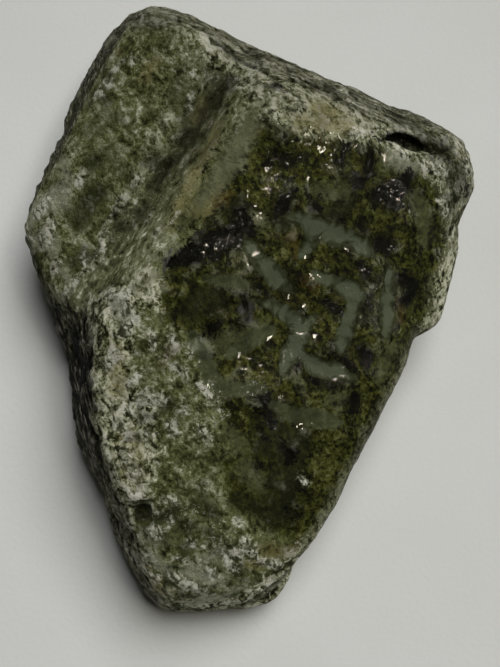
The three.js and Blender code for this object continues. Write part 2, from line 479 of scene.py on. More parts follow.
SCOOP_MIDDLES = [
    [(246, 238, 3), (251, 246, 6), (258, 258, 8), (268, 270, 9), (279, 280, 9), (288, 287, 6),
     (293, 292, 3)],
    [(278, 228, 3), (288, 219, 4), (298, 217, 5), (306, 222, 7), (316, 228, 9), (330, 232, 9),
     (344, 238, 9), (356, 243, 8), (366, 249, 7), (373, 255, 3)],
    [(313, 234, 8), (309, 244, 7), (305, 252, 5), (300, 258, 2)], [(290, 222, 3), (284, 230, 2)],
    [(313, 272, 2), (322, 277, 4), (332, 281, 6), (342, 285, 8), (352, 290, 9), (357, 298, 8),
     (355, 308, 6), (351, 318, 6), (347, 330, 7), (343, 342, 7), (340, 350, 4)],
    [(388, 262, 3), (390, 274, 5), (389, 288, 7), (388, 304, 8), (387, 320, 8), (387, 332, 6)],
    [(256, 299, 2), (266, 304, 4), (278, 309, 6), (288, 315, 7), (296, 322, 8), (301, 330, 9),
     (297, 342, 9), (291, 353, 9), (286, 364, 6), (282, 374, 3)],
    [(298, 322, 6), (308, 320, 4), (316, 316, 2)], [(272, 300, 2), (270, 294, 1.5)],
    [(271, 298, 2), (282, 312, 4)],
    [(304, 358, 4), (312, 364, 8), (324, 369, 9), (336, 372, 8), (346, 376, 5), (354, 380, 3)],
]
SCOOPS = [
    [(across_px, down_px, half_px * SCOOP_WIDENING + SCOOP_RIM_PX) for across_px, down_px, half_px in middle]
    for middle in SCOOP_MIDDLES
]
DULL_SCOOPS = [
    [(274, 405, 4), (285, 412, 7), (300, 416, 9), (318, 418, 9), (332, 422, 7), (340, 422, 4)],
    [(230, 354, 5), (245, 345, 8), (258, 336, 8), (270, 332, 6)],
    [(192, 336, 5), (200, 350, 7), (207, 365, 8), (212, 380, 9), (222, 390, 9), (236, 390, 8),
     (248, 390, 6), (262, 390, 5)],
    [(205, 278, 3), (218, 280, 6), (232, 282, 8), (243, 285, 6)],
]
print("scoops:", len(SCOOPS) + len(DULL_SCOOPS))

# %% List the creases, the lips and the pit
CREASES = [
    [(418, 149, 3), (432, 151, 3), (446, 150, 2), (454, 146, 2)],
    [(369, 142, 2), (371, 156, 3), (368, 170, 2)],
    [(290, 570, 2), (282, 579, 3), (268, 589, 3), (254, 598, 3), (238, 607, 3)],
    [(132, 503, 1.2), (142, 501, 1.6), (153, 502, 1.2)], [(104, 60, 2), (96, 76, 2), (88, 92, 2)],
    [(212, 40, 2), (232, 52, 2), (252, 66, 2), (276, 78, 2), (300, 82, 2)],
]
# Lips are raised and painted pale: crumbs of crust with a painted highlight along the edge.
LIPS = [
    [(142, 174, 2), (134, 184, 3)], [(126, 196, 2), (118, 207, 3), (109, 219, 2)],
    [(106, 222, 2), (103, 236, 4), (103, 248, 3), (98, 262, 4), (83, 272, 3), (65, 294, 3)],
    [(388, 144, 3), (398, 150, 4), (406, 157, 3)],
    [(291, 564, 2), (283, 572, 3), (270, 582, 3), (256, 592, 3), (240, 600, 3)],
    [(94, 100, 2), (104, 82, 3), (118, 66, 3), (132, 54, 2)],
]
# The pit is sunk and also painted black, which is painted shade in it.
BACK_PIT = [
    [(387, 138, 3), (397, 140, 8), (407, 142, 8), (414, 145, 5), (420, 148, 2)],
    [(430, 149, 1.5), (438, 151, 2)],
]
print("creases and lips:", len(CREASES) + len(LIPS))

# %% List the black hollows, the white crumbs and a few painted highlights
# Most are black patches of the rock. The marks round the pit, from about 378 to 450 across and 132 to 158
# down, are painted shade.
BLACK = [
    [(170, 262, 8), (195, 252, 13), (220, 240, 15), (245, 232, 12), (243, 215, 5)],
    [(225, 225, 4), (238, 212, 4), (247, 208, 3)],
    [(376, 196, 8), (392, 196, 14), (404, 186, 11), (408, 176, 6)], [(342, 219, 5), (343, 219, 5)],
    [(379, 243, 9), (386, 246, 10)], [(402, 278, 7), (415, 288, 8), (405, 300, 6)],
    [(277, 214, 7), (286, 204, 8), (290, 197, 6)], [(314, 202, 5), (318, 209, 4)],
    [(358, 266, 4), (376, 282, 4)], [(326, 302, 5), (335, 310, 6)], [(366, 300, 6), (364, 312, 5)],
    [(246, 308, 6), (243, 296, 4)], [(210, 330, 5), (216, 326, 4)], [(258, 284, 4), (270, 298, 3)],
    [(298, 364, 6), (300, 356, 4)], [(310, 378, 4), (322, 382, 6), (334, 386, 4)],
    [(342, 362, 5), (352, 370, 4)], [(366, 360, 7), (362, 350, 5)], [(354, 398, 6), (352, 410, 5)],
    [(254, 394, 6), (264, 400, 8), (274, 408, 7)], [(276, 154, 7), (290, 162, 6), (300, 156, 4)],
    [(340, 162, 6), (346, 148, 4)], [(369, 144, 4), (371, 156, 4), (368, 172, 4)],
    [(360, 184, 8), (350, 180, 5)], [(290, 456, 6), (284, 446, 5)], [(286, 508, 5), (298, 514, 5)],
    [(424, 148, 3), (438, 152, 3), (448, 153, 2)], [(384, 139, 2), (378, 138, 1.5)],
    [(422, 137, 5), (427, 140, 5)], [(436, 144, 5), (440, 147, 4)], [(428, 152, 4), (432, 154, 4)],
    [(446, 154, 4), (449, 158, 4)], [(404, 132, 1.5), (414, 136, 1.5)], [(360, 224, 4), (363, 230, 3)],
    [(262, 412, 6), (268, 420, 6)], [(436, 142, 4), (442, 145, 4)], [(467, 186, 4), (466, 196, 3)],
    [(272, 86, 4), (284, 88, 4)], [(258, 430, 4), (266, 438, 5)], [(330, 350, 4), (336, 356, 3)],
    [(290, 270, 3), (300, 276, 3)], [(248, 320, 4), (238, 326, 3)],
]
# Most are white crumbs of crust. Those along the valley's lip from about 86 to 139 across, under the pit near
# 400 across, and on the crest near 168 across and 260 down are painted highlights.
WHITE = [
    [(139, 177, 2), (134, 184, 3)], [(122, 201, 2), (117, 208, 3)], [(160, 228, 2), (154, 236, 3)],
    [(146, 222, 2), (150, 214, 2)], [(172, 222, 2), (178, 214, 2)], [(92, 296, 2), (88, 306, 2)],
    [(110, 290, 6), (114, 298, 6)], [(124, 296, 7), (130, 316, 8), (124, 332, 6)],
    [(113, 354, 8), (108, 366, 6)], [(153, 338, 5), (152, 348, 4)], [(172, 342, 7), (168, 354, 5)],
    [(195, 342, 5), (192, 354, 4)], [(146, 396, 8), (160, 400, 7)], [(198, 384, 4), (201, 386, 4)],
    [(176, 366, 5), (184, 372, 4)], [(138, 376, 5), (130, 384, 5)], [(118, 422, 7), (128, 432, 7)],
    [(137, 466, 4), (140, 470, 4)], [(148, 432, 4), (150, 434, 3)], [(170, 424, 6), (172, 432, 5)],
    [(202, 432, 6), (208, 438, 4)], [(183, 408, 4), (186, 412, 3)], [(208, 388, 5), (212, 402, 4)],
    [(128, 408, 4), (130, 412, 4)], [(124, 450, 7), (134, 474, 7)], [(130, 494, 5), (142, 497, 4)],
    [(112, 506, 4), (117, 520, 5)], [(131, 528, 3), (133, 532, 3)], [(126, 546, 4), (134, 560, 5)],
    [(144, 568, 6), (156, 578, 5)], [(172, 576, 6), (188, 584, 6)], [(196, 588, 6), (206, 592, 4)],
    [(212, 570, 4), (214, 576, 3)], [(164, 602, 5), (176, 606, 4)], [(244, 542, 6), (254, 556, 6)],
    [(262, 560, 5), (282, 566, 5)], [(216, 604, 3), (240, 602, 3), (256, 597, 3)],
    [(153, 528, 3), (160, 538, 3)], [(176, 557, 3), (184, 562, 3)], [(206, 548, 2), (214, 545, 2)],
    [(226, 560, 3), (232, 568, 3)], [(142, 552, 3), (148, 562, 3)], [(234, 548, 3), (240, 556, 4)],
    [(398, 152, 2), (404, 155, 2)], [(300, 478, 3), (306, 482, 2)], [(237, 520, 2), (239, 522, 2)],
    [(162, 499, 3), (175, 500, 3)], [(170, 520, 3), (172, 523, 2)], [(163, 529, 2), (165, 530, 2)],
    [(192, 540, 3), (196, 544, 2)], [(345, 90, 4), (343, 92, 3)], [(350, 134, 4), (362, 134, 4)],
    [(426, 165, 7), (442, 172, 7)], [(398, 152, 3), (406, 156, 3)], [(466, 160, 4), (470, 172, 4)],
    [(448, 132, 4), (456, 142, 4)], [(170, 258, 3), (167, 262, 3)], [(131, 62, 3), (138, 59, 3)],
    [(114, 79, 2), (109, 84, 2)], [(193, 72, 3), (195, 76, 2)], [(190, 98, 4), (188, 106, 4)],
    [(236, 80, 3), (238, 84, 2)], [(117, 200, 2), (121, 206, 3)], [(86, 262, 4), (94, 256, 3)],
    [(104, 236, 2), (103, 246, 3)], [(26, 226, 4), (30, 238, 4)], [(38, 212, 6), (46, 200, 6)],
    [(50, 225, 8), (44, 240, 8)], [(58, 262, 5), (52, 272, 4)], [(70, 288, 4), (66, 296, 3)],
    [(84, 172, 4), (78, 184, 3)], [(440, 200, 3), (446, 214, 3)], [(452, 236, 3), (450, 250, 3)],
]
print("black hollows:", len(BLACK), "and white crumbs:", len(WHITE))

# %% Carve the marks
OUTER_EDGE = -0.3


def carve(marks, depth_mm, slope_mm=0.8):
    """Sinks the surface under the marks, with a sloping edge this wide. A negative depth raises it."""
    return -depth_mm * fade(inside_marks(marks), OUTER_EDGE, slope_mm)


points, outward = surface(stone)
skin = skin_of(stone)
shift = carve(SCOOPS, 0.2) + carve(DULL_SCOOPS, 0.15) + carve(BLACK, 0.2, 1.5) + carve(WHITE, -0.3, 1.0)
shift += carve(CREASES, 0.8, 0.6) + carve(LIPS, -0.5, 0.6) + carve(BACK_PIT, 2.0, 1.4)
points = points + outward * shift[:, None]
points[:, 2] = np.maximum(points[:, 2], 0)
stone.data.vertices.foreach_set("co", (points * MM).ravel())
stone.data.update()
print("deepest mark, mm:", round(-shift.min(), 2))

# %% [markdown]
# ## What the finish needs to know
# The finish of a stone follows its places: creases, hollows and the pit are darkened with painted shade, worn
# edges are pale, lips get a painted highlight, and stains have their own spots. Marks and zones are kept on
# the mesh as a number per point, in mm inside their edge, so that the finish draws sharp edges. Walls are
# kept as shares from 0 to 1, and hollows by their depth in mm.

# %% List the green and brown stains
DARK_GREEN = [
    [(400, 122, 7), (414, 129, 10), (430, 140, 14), (444, 151, 12)],
    [(450, 174, 10), (458, 190, 12), (450, 208, 10)], [(458, 168, 8), (463, 178, 7)],
    [(300, 440, 14), (285, 470, 16), (275, 510, 20)], [(280, 430, 8), (262, 450, 9)],
    [(350, 200, 10), (330, 215, 8)], [(150, 160, 8), (165, 165, 7)], [(96, 92, 6), (108, 98, 6)],
    [(90, 165, 8), (100, 160, 7)], [(95, 195, 12), (80, 215, 10)], [(75, 262, 8), (85, 255, 6)],
    [(215, 300, 14), (190, 310, 12)], [(240, 200, 7), (232, 212, 6)], [(140, 418, 7), (150, 420, 5)],
    [(166, 400, 6), (172, 408, 5)], [(138, 520, 4), (144, 530, 6), (152, 538, 5)],
    [(186, 546, 5), (194, 542, 4)], [(220, 550, 6), (228, 556, 4)], [(180, 594, 4), (186, 596, 3)],
    [(150, 528, 6), (160, 518, 8), (176, 510, 7)], [(196, 504, 6), (212, 512, 8)],
    [(238, 500, 8), (262, 512, 8), (272, 526, 6)],
    [(136, 512, 4), (148, 520, 5), (160, 534, 5), (166, 542, 5)], [(172, 518, 5), (188, 526, 5)],
    [(168, 582, 4), (184, 590, 4)], [(208, 532, 5), (218, 540, 4)], [(180, 548, 4), (186, 556, 4)],
    [(232, 560, 6), (240, 575, 6)],
]
VALLEY_DARK = [
    [(212, 72, 9), (220, 95, 11), (212, 115, 13), (200, 140, 13), (188, 160, 9)],
    [(196, 90, 6), (190, 110, 8), (184, 135, 8), (178, 155, 7), (164, 172, 7)],
    [(225, 98, 5), (222, 118, 5), (214, 140, 5), (200, 160, 5)],
]
SAND = [
    [(318, 108, 9), (332, 112, 9)], [(300, 120, 8), (330, 126, 8), (352, 128, 7)],
    [(126, 430, 9), (132, 470, 10)], [(150, 574, 9), (170, 598, 8)], [(115, 350, 8), (118, 385, 9)],
    [(150, 200, 0.5), (151, 200, 0.5)], [(205, 104, 7), (200, 120, 6)],
    [(218, 128, 6), (210, 146, 8), (199, 166, 9), (189, 186, 10), (180, 206, 9), (174, 222, 6)],
    [(190, 212, 8), (204, 208, 9), (213, 198, 6)], [(152, 66, 7), (146, 78, 6)],
    [(255, 560, 9), (272, 556, 8)],
]
RUST = [
    [(196, 154, 4), (192, 160, 4)], [(292, 238, 5), (303, 256, 5)], [(400, 300, 4), (402, 318, 4)],
    [(322, 106, 4), (320, 138, 4)], [(266, 548, 5), (292, 550, 6)], [(302, 280, 5), (312, 290, 4)],
    [(172, 350, 4), (160, 370, 3)], [(105, 60, 5), (92, 78, 4)], [(118, 54, 4), (125, 48, 4)],
    [(228, 196, 4), (214, 206, 4)],
]
print("stains:", len(DARK_GREEN) + len(VALLEY_DARK) + len(SAND) + len(RUST))

# %% List the clear, pale and fibrous patches
CLEAR = [
    [(216, 345, 9), (240, 338, 10), (262, 330, 9)], [(246, 468, 10), (256, 482, 9)],
    [(200, 205, 9), (184, 222, 9)], [(320, 190, 7), (345, 192, 7)], [(254, 218, 7), (262, 224, 6)],
    [(415, 196, 9), (426, 214, 9), (424, 240, 8)], [(392, 350, 8), (380, 376, 8)],
    [(330, 400, 6), (345, 396, 5)], [(90, 130, 9), (110, 120, 9)], [(110, 150, 8), (120, 170, 8)],
    [(180, 80, 8), (175, 100, 7)], [(70, 212, 8), (80, 224, 7)],
    [(385, 160, 9), (405, 168, 10), (420, 160, 7)], [(430, 280, 6), (432, 310, 5)],
    [(225, 430, 7), (240, 445, 8)], [(160, 540, 8), (180, 530, 7)],
]
BLUE_CREST = [
    [(262, 104, 5), (252, 118, 9), (244, 134, 12), (234, 150, 13), (226, 166, 13), (214, 184, 11),
     (202, 198, 8)],
    [(176, 248, 4), (168, 256, 4)], [(152, 276, 4), (136, 288, 5)], [(254, 218, 5), (258, 220, 5)],
    [(330, 196, 3), (334, 197, 3)],
]
PALE = [
    [(30, 222, 8), (38, 208, 11), (52, 196, 10), (64, 186, 6)],
    [(34, 244, 7), (44, 236, 9), (54, 250, 7)], [(186, 570, 7), (205, 576, 8), (222, 580, 6)],
    [(120, 296, 6), (126, 318, 7)], [(395, 158, 6), (410, 166, 6)], [(60, 270, 5), (70, 280, 4)],
    [(152, 558, 4), (166, 570, 6)], [(202, 560, 4), (214, 556, 5)],
    [(236, 590, 4), (220, 598, 5), (196, 600, 5)], [(62, 160, 4), (68, 180, 5), (62, 205, 6)],
    [(206, 352, 4), (200, 342, 4)],
]
FIBRES = [
    [(150, 345, 10), (170, 365, 14), (195, 385, 16), (215, 410, 12)], [(180, 400, 12), (210, 440, 10)],
    [(130, 400, 12), (160, 420, 10)], [(160, 505, 12), (200, 520, 14), (230, 545, 12)],
    [(200, 570, 12), (240, 575, 10)], [(350, 100, 12), (400, 110, 10)], [(250, 395, 4), (262, 388, 4)],
    [(60, 200, 12), (45, 230, 14)], [(440, 170, 10), (466, 200, 10)],
    [(140, 60, 10), (180, 60, 12), (200, 80, 10)],
]
print("patches:", len(CLEAR) + len(BLUE_CREST) + len(PALE) + len(FIBRES))

# %% List the ripples in the water
RIPPLES = [
    [(200, 254, 7), (214, 249, 11), (232, 246, 11), (244, 238, 7)], [(230, 257, 5), (234, 258, 4)],
    [(378, 184, 8), (392, 186, 9), (402, 200, 12), (410, 216, 8)],
    [(268, 190, 7), (276, 176, 6), (284, 194, 7), (290, 170, 5)], [(346, 172, 6), (358, 186, 6)],
    [(343, 284, 5), (350, 296, 4)], [(362, 290, 5), (370, 304, 9), (372, 326, 6)],
    [(276, 374, 5), (288, 376, 5)], [(354, 245, 4), (366, 251, 5), (374, 256, 4)],
    [(394, 270, 4), (396, 296, 5), (395, 330, 4)], [(214, 288, 4), (230, 291, 5), (245, 288, 4)],
    [(244, 386, 6), (262, 391, 6)], [(220, 318, 5), (234, 314, 5)], [(298, 322, 4), (304, 326, 4)],
    [(340, 344, 4), (346, 352, 5)], [(262, 358, 4), (268, 350, 4)], [(282, 238, 3), (285, 240, 3)],
    [(440, 186, 5), (446, 196, 5)], [(404, 160, 4), (412, 168, 4)], [(268, 420, 4), (276, 426, 4)],
    [(366, 360, 5), (372, 372, 4)],
]
print("ripples:", len(RIPPLES))

# %% Write the places onto the mesh
MARK_REACH = 6
ZONE_REACH = 8
EVENING_ROUNDS = 40


def smoothed(values, pairs, rounds):
    """Evens values out over the mesh, a little each round."""
    count = np.bincount(pairs.ravel(), minlength=len(values))[:, None]
    for _ in range(rounds):
        total = np.zeros_like(values)
        np.add.at(total, pairs[:, 0], values[pairs[:, 1]])
        np.add.at(total, pairs[:, 1], values[pairs[:, 0]])
        values = 0.5 * values + 0.5 * total / count
    return values


def write(name, values):
    """Keeps one number for each point of the stone, under this name."""
    layer = stone.data.attributes.new(name, "FLOAT", "POINT")
    layer.data.foreach_set("value", np.ascontiguousarray(values, dtype=np.float32))


points, outward = surface(stone)
pairs = np.empty(len(stone.data.edges) * 2, int)
stone.data.edges.foreach_get("vertices", pairs)
pairs = pairs.reshape(-1, 2)
hollow = ((smoothed(points, pairs, EVENING_ROUNDS) - points) * outward).sum(1)

# The pit's marks are kept with the black patches, so its painted shade is drawn black.
painted = {
    "scoop": SCOOPS, "dull_scoop": DULL_SCOOPS, "black": BLACK + BACK_PIT, "dark_green": DARK_GREEN,
    "valley_dark": VALLEY_DARK, "white": WHITE, "sand": SAND, "clear": CLEAR, "blue_crest": BLUE_CREST,
    "rust": RUST, "crease": CREASES, "lip": LIPS, "fibrous": FIBRES, "rippled": RIPPLES, "pale": PALE,
}
for name, marks in painted.items():
    write(name, np.clip(inside_marks(marks), -MARK_REACH, MARK_REACH))
zones = {"crust": crust, "back_slope": back_slope, "wet_face": wet_face, "lobe": lobe, "valley": valley}
for name, depth in zones.items():
    write(name, np.clip(depth, -ZONE_REACH, ZONE_REACH))
write("left_wall", left_wall * (1 - 0.45 * fade(-points[:, 1], 22, 40)))
write("upper_left_wall", upper_left_wall)
write("back_grain", back_grain)
write("steep", steep)
write("hollow", hollow)
print("hollows and lips, mm:", round(float(hollow.min()), 2), "to", round(float(hollow.max()), 2))

# %% [markdown]
# ## The finish: raw jadeite, wet
# Jadeite is a tough rock of felted grains. Its fresh skin is olive and dark when wet, scraped places show
# the pale waxy stone, and weathering turns it to a grainy grey-white crust with dark flecks. It isn't a
# metal, and its refractive index is 1.66. The water on it is a thin coat with the index of water, 1.33.

# %% Start the finish
jadeite = bpy.data.materials.new("wet raw jadeite")
jadeite.use_nodes = True
tree = jadeite.node_tree
shader = tree.nodes["Principled BSDF"]
shader.inputs["IOR"].default_value = 1.66
shader.inputs["Specular IOR Level"].default_value = 0.02
shader.inputs["Coat IOR"].default_value = 1.33
shader.inputs["Coat Roughness"].default_value = 0.04
print("index of jadeite:", round(shader.inputs["IOR"].default_value, 2))

# %% [markdown]
# ## Patterns in the rock
# Jade shows patches a few millimetres wide, grains, flecks, and shards in its crust. Each is a noise or
# cell pattern on the stone's own millimetres. Those that are added in shares are first centred on zero.

# %% Draw the patterns
place = add_node(tree, "ShaderNodeTexCoord")
in_mm = add_node(
    tree, "ShaderNodeMapping", [("Vector", place.outputs["Object"]), ("Scale", (1000, 1000, 1000))]
)
mm = in_mm.outputs["Vector"]
# Jadeite grains are about 0.1 mm wide, too fine to show here, so they are drawn 0.4 to 0.8 mm wide.
flecks = add_node(
    tree, "ShaderNodeTexNoise", [("Vector", mm), ("Scale", 2.6), ("Detail", 3), ("Roughness", 0.65)]
)
grains = add_node(
    tree, "ShaderNodeTexNoise", [("Vector", mm), ("Scale", 1.2), ("Detail", 6), ("Roughness", 0.72)]
)
patches = add_node(
    tree,
    "ShaderNodeTexNoise",
    [("Vector", mm), ("Scale", 0.30), ("Detail", 7), ("Roughness", 0.66), ("Distortion", 0.8)],
)
bend = add_node(tree, "ShaderNodeTexNoise", [("Vector", mm), ("Scale", 1.1), ("Detail", 3)])
crooked = add_node(
    tree,
    "ShaderNodeVectorMath",
    [(0, bend.outputs["Color"]), (1, (1.6, 1.6, 1.6)), (2, mm)],
    operation="MULTIPLY_ADD",
)
# The weathered crust breaks in shards about 1.5 mm long, which lean the same way.
leaning = add_node(
    tree,
    "ShaderNodeMapping",
    [("Vector", crooked.outputs[0]), ("Rotation", (0, 0, math.radians(-62))), ("Scale", (1.5, 0.6, 0.8))],
    vector_type="TEXTURE",
)
crystals = add_node(tree, "ShaderNodeTexVoronoi", [("Vector", leaning.outputs["Vector"]), ("Scale", 1)])
crystal = add_node(tree, "ShaderNodeSeparateColor", [("Color", crystals.outputs["Color"])])
shard = crystal.outputs["Red"]
half_fine = add_node(tree, "ShaderNodeMath", [(0, grains.outputs["Fac"]), (1, 0.5)], operation="SUBTRACT")
half_broad = add_node(tree, "ShaderNodeMath", [(0, patches.outputs["Fac"]), (1, 0.5)], operation="SUBTRACT")
half_crystal = add_node(tree, "ShaderNodeMath", [(0, shard), (1, 0.5)], operation="SUBTRACT")
ragged = add_node(
    tree,
    "ShaderNodeMath",
    [(0, half_fine.outputs[0]), (1, 0.8), (2, half_broad.outputs[0])],
    operation="MULTIPLY_ADD",
)
print("nodes for the patterns:", len(tree.nodes))


# %% Draw the edge of a mark or stain
def stain(name, ragged_by, soft):
    """Where a kept place shows, from 0 to 1. ragged_by frays its edge, and soft blurs it, both in mm."""
    kept = add_node(tree, "ShaderNodeAttribute", attribute_name=name)
    frayed = add_node(
        tree,
        "ShaderNodeMath",
        [(0, ragged.outputs[0]), (1, ragged_by), (2, kept.outputs["Fac"])],
        operation="MULTIPLY_ADD",
    )
    edge = add_node(
        tree,
        "ShaderNodeMapRange",
        [("Value", frayed.outputs[0]), ("From Min", -soft), ("From Max", soft)],
        interpolation_type="SMOOTHSTEP",
    )
    return edge.outputs["Result"]


def cover(under, over, share, most=1.0):
    """One colour laid over another where share is 1, up to most."""
    if most < 1:
        share = add_node(tree, "ShaderNodeMath", [(0, share), (1, most)], operation="MULTIPLY").outputs[0]
    laid = add_node(tree, "ShaderNodeMix", [(0, share), (6, under), (7, over)], data_type="RGBA")
    return laid.outputs[2]


def speckle(broad, fine, crystal):
    """A mix of the patterns round 0.5, with these shares of broad patches, fine grains and crystals."""
    total = 0.5
    for pattern, share in ((half_broad, broad), (half_fine, fine), (half_crystal, crystal)):
        parts = [(0, pattern.outputs[0]), (1, share), (2, total)]
        total = add_node(tree, "ShaderNodeMath", parts, operation="MULTIPLY_ADD").outputs[0]
    return total


# %% [markdown]
# ## The rock's own colours
# Each kind of surface has a ramp from its darkest flecks to its palest grains. The olive face is dark, as
# wet jade is, the lobe is a milky green, and the crust runs from black flecks to bone white.

# %% Mix the rock's own colours
olive = add_node(
    tree,
    "ShaderNodeValToRGB",
    [("Fac", speckle(1.0, 1.1, 0.22))],
    stops=[
        (0.26, "#070703"), (0.38, "#181907"), (0.47, "#29290c"), (0.57, "#3d3f15"), (0.67, "#505224"),
        (0.82, "#70714a"),
    ],
)
lobe_rock = add_node(
    tree,
    "ShaderNodeValToRGB",
    [("Fac", speckle(1.2, 0.9, 0.14))],
    stops=[
        (0.22, "#1f2011"), (0.34, "#3f4225"), (0.44, "#5b5f37"), (0.54, "#777b50"), (0.64, "#9da07e"),
        (0.76, "#d8dabe"),
    ],
)
crust_rock = add_node(
    tree,
    "ShaderNodeValToRGB",
    [("Fac", speckle(1.7, 1.3, 0.28))],
    stops=[
        (0.20, "#17180d"), (0.33, "#434529"), (0.42, "#757855"), (0.51, "#a3a480"), (0.60, "#cbcbac"),
        (0.72, "#ebe8d2"), (0.86, "#efebd6"),
    ],
)
print("nodes with the rock's own colours:", len(tree.nodes))

# %% [markdown]
# ## Streaks of the leaves
# Where the leaves of the rock come to the surface, they show as short dark and pale streaks, bent a little.
# A noise pattern stretched along the same directions as the relief draws them.

# %% Draw the leaves of the rock as streaks
STREAK_SIZES = {"valley": (2.4, 0.8, 0.8), "left wall": (8, 0.6, 2.6), "back": (5, 0.7, 1.8)}

nearly_straight = add_node(
    tree,
    "ShaderNodeVectorMath",
    [(0, bend.outputs["Color"]), (1, (0.4, 0.4, 0.4)), (2, mm)],
    operation="MULTIPLY_ADD",
)
lines_of = {"valley": crooked, "left wall": nearly_straight, "back": crooked}
streaks = {}
for name, size in STREAK_SIZES.items():
    along = add_node(
        tree,
        "ShaderNodeMapping",
        [("Vector", lines_of[name].outputs[0]), ("Rotation", leaf_turn(name)), ("Scale", size)],
        vector_type="TEXTURE",
    )
    streaks[name] = add_node(
        tree,
        "ShaderNodeTexNoise",
        [("Vector", along.outputs["Vector"]), ("Scale", 1), ("Detail", 5), ("Roughness", 0.66)],
    )
dark_leaves = add_node(
    tree,
    "ShaderNodeValToRGB",
    [("Fac", streaks["left wall"].outputs["Fac"])],
    stops=[(0.40, "#060503"), (0.52, "#0e0d08"), (0.57, "#29271d"), (0.61, "#7b7766"), (0.68, "#b3af9c")],
)
valley_mix = add_node(
    tree,
    "ShaderNodeMath",
    [(0, half_broad.outputs[0]), (1, 0.8), (2, streaks["valley"].outputs["Fac"])],
    operation="MULTIPLY_ADD",
)
valley_leaves = add_node(
    tree,
    "ShaderNodeValToRGB",
    [("Fac", valley_mix.outputs[0])],
    stops=[
        (0.27, "#232214"), (0.40, "#57583a"), (0.49, "#7a7c58"), (0.58, "#8a8d69"), (0.64, "#b6b896"),
        (0.70, "#e6e6d0"),
    ],
)
back_leaves = add_node(
    tree,
    "ShaderNodeValToRGB",
    [("Fac", streaks["back"].outputs["Fac"])],
    stops=[(0.38, "#0b0b07"), (0.46, "#2b2b1c"), (0.53, "#5c5b46"), (0.60, "#969480"), (0.68, "#cbc8b6")],
)
print("streak patterns:", len(streaks))

# %% [markdown]
# ## Colours laid over each other
# The rock changes from place to place with ragged edges. So the colours are laid over each other as a
# painter would, from the broad zones to the small stains, each where the mesh keeps its place.

# %% Lay the zones over each other
def share_of(name):
    """A share from 0 to 1 that is kept on the mesh."""
    return add_node(tree, "ShaderNodeAttribute", attribute_name=name).outputs["Fac"]


colour = cover(crust_rock.outputs["Color"], lobe_rock.outputs["Color"], stain("lobe", 6.0, 0.5))
colour = cover(colour, olive.outputs["Color"], stain("wet_face", 12.0, 0.6))
colour = cover(colour, valley_leaves.outputs["Color"], stain("valley", 7.0, 1.2))
colour = cover(colour, crust_rock.outputs["Color"], stain("crust", 9.0, 1.2))
colour = cover(colour, back_leaves.outputs["Color"], share_of("steep"), 0.45)
colour = cover(colour, back_leaves.outputs["Color"], stain("back_slope", 6.0, 3.0), 0.4)
colour = cover(colour, dark_leaves.outputs["Color"], share_of("left_wall"))
colour = cover(colour, dark_leaves.outputs["Color"], share_of("upper_left_wall"), 0.75)
colour = cover(colour, back_leaves.outputs["Color"], share_of("back_grain"), 0.8)
print("nodes with the zones:", len(tree.nodes))

# %% Mix the colours of the stains
# The near-black #0d0d07 is painted shade, laid into the creases and the hollows.
FLAT_COLOURS = {
    "sandy crust": "#98915f", "pale crest": "#6f7053", "clear jade": "#55583a", "pale skin": "#a0a28a",
    "rust": "#4a3414", "painted_shade": "#0d0d07", "green": "#1f2210", "valley brown": "#1c1a0e",
}
paints = {}
for name, hex_colour in FLAT_COLOURS.items():
    paints[name] = add_node(tree, "ShaderNodeRGB").outputs[0]
    paints[name].default_value = linear(hex_colour)
# A pale ramp for crumbs of crust, worn edges and fibres, also used for painted highlights on the lips and a
# few white marks.
pale_crumbs_and_highlights = add_node(
    tree,
    "ShaderNodeValToRGB",
    [("Fac", speckle(0.8, 1.4, 0.6))],
    stops=[(0.25, "#4c4d38"), (0.42, "#8a8a71"), (0.55, "#b2b19b"), (0.72, "#dcdac9")],
)
black = add_node(
    tree,
    "ShaderNodeValToRGB",
    [("Fac", flecks.outputs["Fac"])],
    stops=[(0.46, "#020301"), (0.60, "#0a0b04"), (0.7, "#1d1e0b")],
)
dull = add_node(
    tree,
    "ShaderNodeValToRGB",
    [("Fac", patches.outputs["Fac"])],
    stops=[(0.35, "#3c4024"), (0.65, "#5a6045")],
)
# A scoop is palest along its middle, and its depth in mm is broken up by the broad patches.
scoop_deep = add_node(
    tree,
    "ShaderNodeMath",
    [(0, half_broad.outputs[0]), (1, 6.0), (2, share_of("scoop"))],
    operation="MULTIPLY_ADD",
)
scraped = add_node(
    tree,
    "ShaderNodeValToRGB",
    [("Fac", scoop_deep.outputs[0])],
    stops=[(0.0, "#262917"), (0.2, "#373b25"), (0.6, "#40452f"), (1.0, "#565c47")],
)
print("flat colours:", len(paints))

# %% Add the stains and patches
colour = cover(colour, paints["sandy crust"], stain("sand", 8.0, 1.5), 0.6)
colour = cover(colour, paints["green"], stain("dark_green", 6.0, 1.0), 0.72)
colour = cover(colour, paints["valley brown"], stain("valley_dark", 7.0, 1.5), 0.5)
colour = cover(colour, paints["clear jade"], stain("clear", 6.0, 1.2), 0.6)
colour = cover(colour, paints["pale crest"], stain("blue_crest", 4.0, 1.2), 0.75)
colour = cover(colour, paints["pale skin"], stain("pale", 5.0, 1.5), 0.8)
# White crumbs, and the few painted highlights among them.
colour = cover(colour, pale_crumbs_and_highlights.outputs["Color"], stain("white", 4.0, 0.6), 0.9)
colour = cover(colour, paints["rust"], stain("rust", 7.0, 0.8), 0.4)
# Black patches of the rock, and the pit and its rim drawn black as painted shade.
colour = cover(colour, black.outputs["Color"], stain("black", 9.0, 0.35))
colour = cover(colour, dull.outputs["Color"], stain("dull_scoop", 1.5, 0.5), 0.85)
print("nodes with the stains:", len(tree.nodes))

